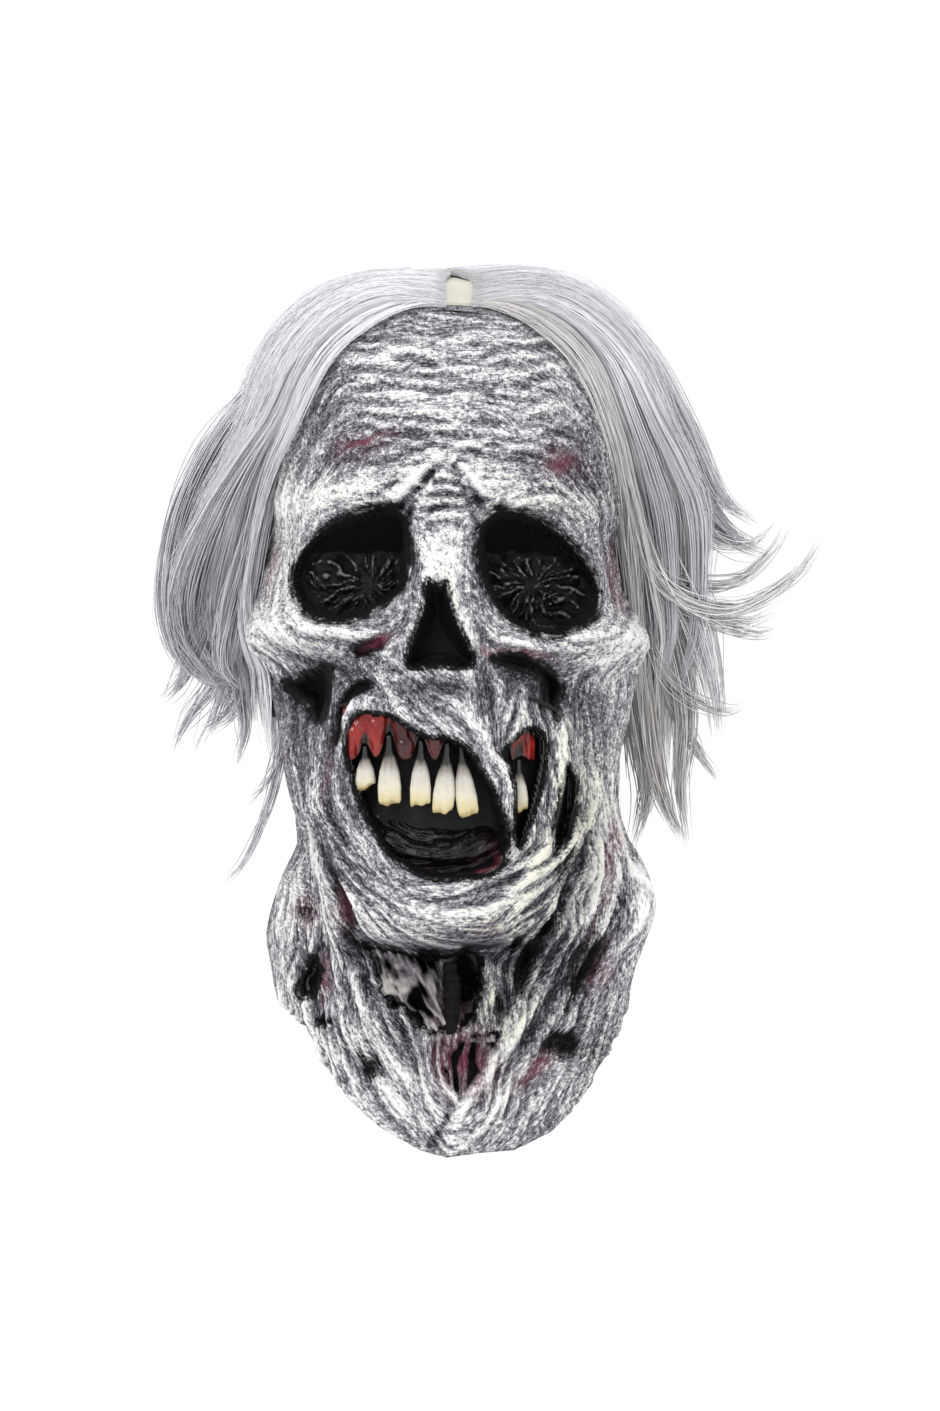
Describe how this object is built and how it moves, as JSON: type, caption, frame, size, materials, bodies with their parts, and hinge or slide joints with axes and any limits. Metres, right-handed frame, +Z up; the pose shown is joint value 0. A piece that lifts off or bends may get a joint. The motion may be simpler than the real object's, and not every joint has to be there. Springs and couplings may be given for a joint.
{
  "type": "latex halloween mask",
  "caption": "Over-the-head latex mask of a decayed skull face: open mouth with teeth, torn neck, glued-on wig, and a rear slit with two soft flaps.",
  "frame": {"origin": "inside of the crown, where the wearer's head carries the mask, on the ear plane", "axes": "+Z up, the face looks along -Y, +X is the wearer's left"},
  "size_m": [0.3116, 0.2321, 0.4189],
  "materials": {
    "latex": "painted latex skin, grey-lavender, dry-brushed bone white",
    "black_lining": "semi-gloss black latex",
    "gum": "wet dark red gloss",
    "tooth": "stained ivory gloss, dark at the root",
    "black_flesh": "wet black gloss over dark red",
    "sinew": "painted latex strand",
    "windpipe": "dark purple-red latex",
    "wig_net": "grey elastic net and sewn weft",
    "parting": "cream woven strip",
    "hair": "silver-grey synthetic fibre with a low sheen"
  },
  "bodies": {
    "mask": {"face_casting": "latex", "rear_scalp_casting": "latex", "neck_casting": "latex", "right_socket_lining": "black_lining", "left_socket_lining": "black_lining", "nose_lining": "black_lining", "mouth_lining": "black_lining", "throat_lining": "black_lining", "tear_patches": "black_lining", "upper_gum": "gum", "tooth_1": "tooth", "tooth_2": "tooth", "tooth_3": "tooth", "tooth_4": "tooth", "tooth_5": "tooth", "tooth_6": "tooth", "lower_palate": "black_flesh", "sinew_inner": "sinew", "sinew_outer": "sinew", "windpipe": "windpipe", "wig_cap": "wig_net", "weft_track_1": "wig_net", "weft_track_2": "wig_net", "weft_track_3": "wig_net", "weft_track_4": "wig_net", "weft_track_5": "wig_net", "weft_track_6": "wig_net", "parting_strip": "parting", "crown_hair_left": "hair", "crown_hair_right": "hair", "side_hair_left": "hair", "side_hair_right": "hair", "rear_hair_left": "hair", "rear_hair_right": "hair", "nape_hair_left": "hair", "nape_hair_right": "hair", "puffed_hair_right": "hair", "puffed_hair_left": "hair", "lock_right_loop": "hair", "lock_right_wisp": "hair", "lock_left_upper": "hair", "lock_left_flyaway": "hair", "lock_left_tail": "hair"},
    "left_flap": {"back_flap_left": "latex"},
    "right_flap": {"back_flap_right": "latex"}
  },
  "joints": [
    {"name": "right_flap_bend", "type": "hinge", "parent": "mask", "child": "right_flap", "pos_m": [-0.05, 0.0635, -0.288], "axis": [0, 0, 1], "range_deg": [0, 35], "stiffness_Nm_per_rad": 0.05},
    {"name": "left_flap_bend", "type": "hinge", "parent": "mask", "child": "left_flap", "pos_m": [0.05, 0.0635, -0.288], "axis": [0, 0, -1], "range_deg": [0, 35], "stiffness_Nm_per_rad": 0.05}
  ]
}
